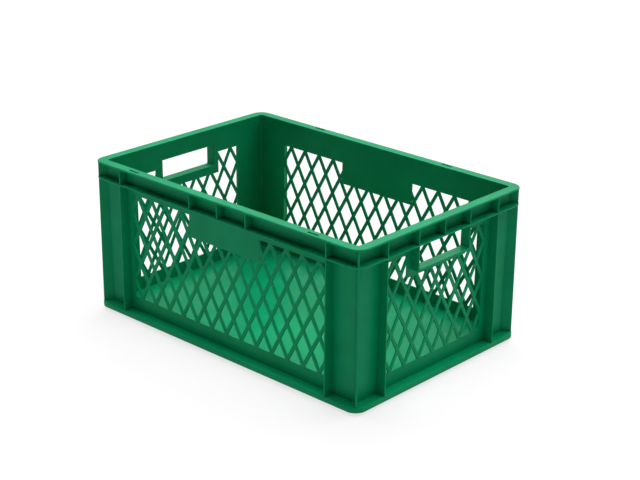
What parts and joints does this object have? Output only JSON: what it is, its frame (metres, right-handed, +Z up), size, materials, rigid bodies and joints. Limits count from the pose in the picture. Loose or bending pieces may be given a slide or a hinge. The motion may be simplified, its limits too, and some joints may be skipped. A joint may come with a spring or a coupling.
{
  "type": "stacking crate",
  "caption": "Stacking plastic crate with diamond-lattice walls, a ribbed rim, a closed floor and a hand hole in each short side.",
  "frame": {"origin": "centre of the footprint, on the face that the crate stands on", "axes": "+X along the long side, +Y across to the back, +Z up; the front long side is at -Y, the right short side at +X"},
  "size_m": [0.6, 0.4, 0.27],
  "materials": {
    "green_polyethylene": "satin, smooth moulded surface"
  },
  "bodies": {
    "root": {"rim_top_front": "green_polyethylene", "rim_top_back": "green_polyethylene", "rim_top_left": "green_polyethylene", "rim_top_right": "green_polyethylene", "rim_wall_front": "green_polyethylene", "rim_wall_back": "green_polyethylene", "rim_wall_left": "green_polyethylene", "rim_wall_right": "green_polyethylene", "rim_low_front": "green_polyethylene", "rim_low_back": "green_polyethylene", "rim_low_left": "green_polyethylene", "rim_low_right": "green_polyethylene", "rim_ribs_front": "green_polyethylene", "rim_ribs_back": "green_polyethylene", "rim_ribs_left": "green_polyethylene", "rim_ribs_right": "green_polyethylene", "band_front": "green_polyethylene", "band_back": "green_polyethylene", "band_left": "green_polyethylene", "band_right": "green_polyethylene", "lattice_front": "green_polyethylene", "lattice_back": "green_polyethylene", "lattice_left": "green_polyethylene", "lattice_right": "green_polyethylene", "sill_front": "green_polyethylene", "sill_back": "green_polyethylene", "sill_left": "green_polyethylene", "sill_right": "green_polyethylene", "label_panel_front": "green_polyethylene", "label_panel_back": "green_polyethylene", "hand_hole_left": "green_polyethylene", "hand_hole_right": "green_polyethylene", "post_front_left": "green_polyethylene", "post_front_right": "green_polyethylene", "post_back_left": "green_polyethylene", "post_back_right": "green_polyethylene", "base_flange_front": "green_polyethylene", "base_flange_back": "green_polyethylene", "base_flange_left": "green_polyethylene", "base_flange_right": "green_polyethylene", "stacking_foot_front": "green_polyethylene", "stacking_foot_back": "green_polyethylene", "stacking_foot_left": "green_polyethylene", "stacking_foot_right": "green_polyethylene", "floor_panel": "green_polyethylene", "floor_ribs": "green_polyethylene"}
  },
  "joints": []
}
